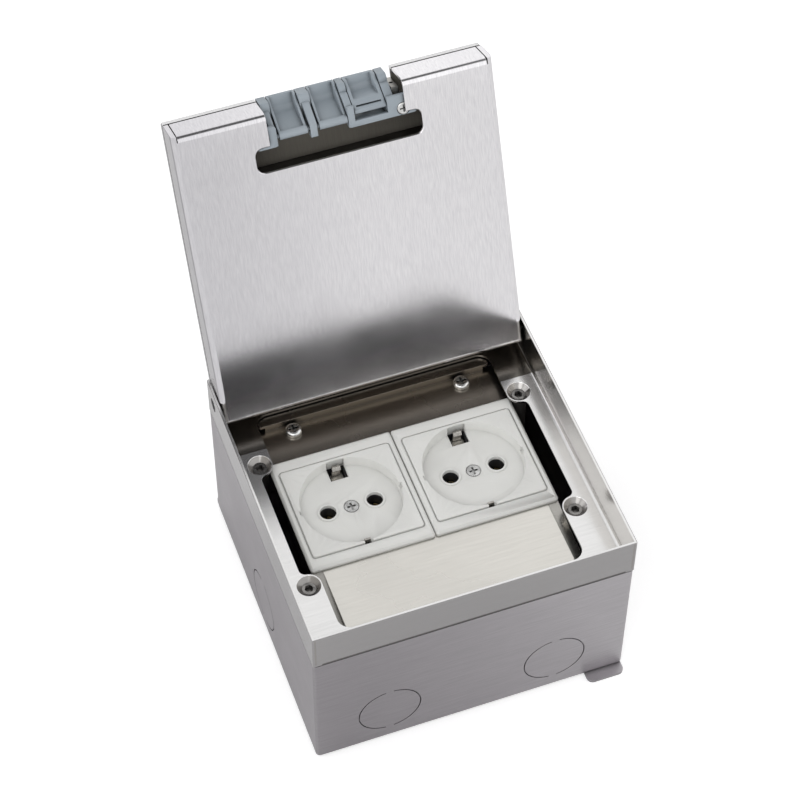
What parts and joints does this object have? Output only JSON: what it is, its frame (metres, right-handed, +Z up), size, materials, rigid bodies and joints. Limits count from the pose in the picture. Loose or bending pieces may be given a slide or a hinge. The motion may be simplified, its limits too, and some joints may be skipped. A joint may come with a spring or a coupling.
{
  "type": "floor socket box",
  "caption": "Square stainless steel floor box with its hinged lid open: a plastic cable outlet in the lid and round recessed sockets inside.",
  "frame": {"origin": "centre of the underside of the casing's base, which stands on the floor slab", "axes": "+Z up towards the lid, +Y from the front wall towards the hinge side, +X to the right seen from the front"},
  "size_m": [0.127, 0.1734, 0.1902],
  "materials": {
    "casing_steel": "brushed",
    "frame_steel": "satin",
    "lid_steel": "brushed",
    "plate_steel": "satin",
    "inner_steel": "satin",
    "screw_steel": "polished",
    "gasket_rubber": "matte",
    "outlet_plastic": "satin",
    "socket_plastic": "semi-gloss",
    "insert_plastic": "matte",
    "contact_brass": "satin",
    "earth_steel": "satin"
  },
  "bodies": {
    "box": {"casing": "casing_steel", "floor_lugs": "casing_steel", "casing_gasket": "gasket_rubber", "frame": "frame_steel", "frame_pillars": "inner_steel", "frame_screws": "screw_steel", "stop_studs": "inner_steel", "socket_plate": "plate_steel", "plate_posts": "inner_steel", "plate_screws": "screw_steel", "front_bracket": "inner_steel", "cover_screws": "screw_steel", "earth_terminal": "contact_brass", "hinge_bushes": "insert_plastic", "socket_cover_left": "socket_plastic", "socket_body_left": "insert_plastic", "contact_sleeves_left": "contact_brass", "earth_clip_left": "earth_steel", "terminal_screws_left": "screw_steel", "socket_cover_right": "socket_plastic", "socket_body_right": "insert_plastic", "contact_sleeves_right": "contact_brass", "earth_clip_right": "earth_steel", "terminal_screws_right": "screw_steel"},
    "lid": {"hinge_pins": "screw_steel", "hinge_blocks": "inner_steel", "lid_pan": "lid_steel", "lid_cover": "lid_steel", "lid_seal": "gasket_rubber", "lid_stiffener": "inner_steel", "outlet_carrier": "outlet_plastic", "outlet_screws": "screw_steel", "outlet_bracket": "inner_steel", "latch_spring": "screw_steel"},
    "flap_left": {"cable_flap_left": "outlet_plastic"},
    "flap_right": {"cable_flap_right": "outlet_plastic"},
    "latch": {"latch_slider": "outlet_plastic"}
  },
  "joints": [
    {"name": "lid_hinge", "type": "hinge", "parent": "box", "child": "lid", "pos_m": [0, 0.0561, 0.0769], "axis": [1, 0, 0], "range_deg": [0, 111.5]},
    {"name": "flap_left_hinge", "type": "hinge", "parent": "lid", "child": "flap_left", "pos_m": [-0.01665, 0.08941, 0.17921], "axis": [-1, 0, 0], "range_deg": [0, 20]},
    {"name": "flap_right_hinge", "type": "hinge", "parent": "lid", "child": "flap_right", "pos_m": [-0.0012, 0.08941, 0.17921], "axis": [-1, 0, 0], "range_deg": [0, 20]},
    {"name": "latch_slide", "type": "slide", "parent": "lid", "child": "latch", "axis": [0, -0.3665, -0.9304], "range_m": [0, 0.002], "stiffness_N_per_m": 300, "springref_m": -0.004}
  ]
}
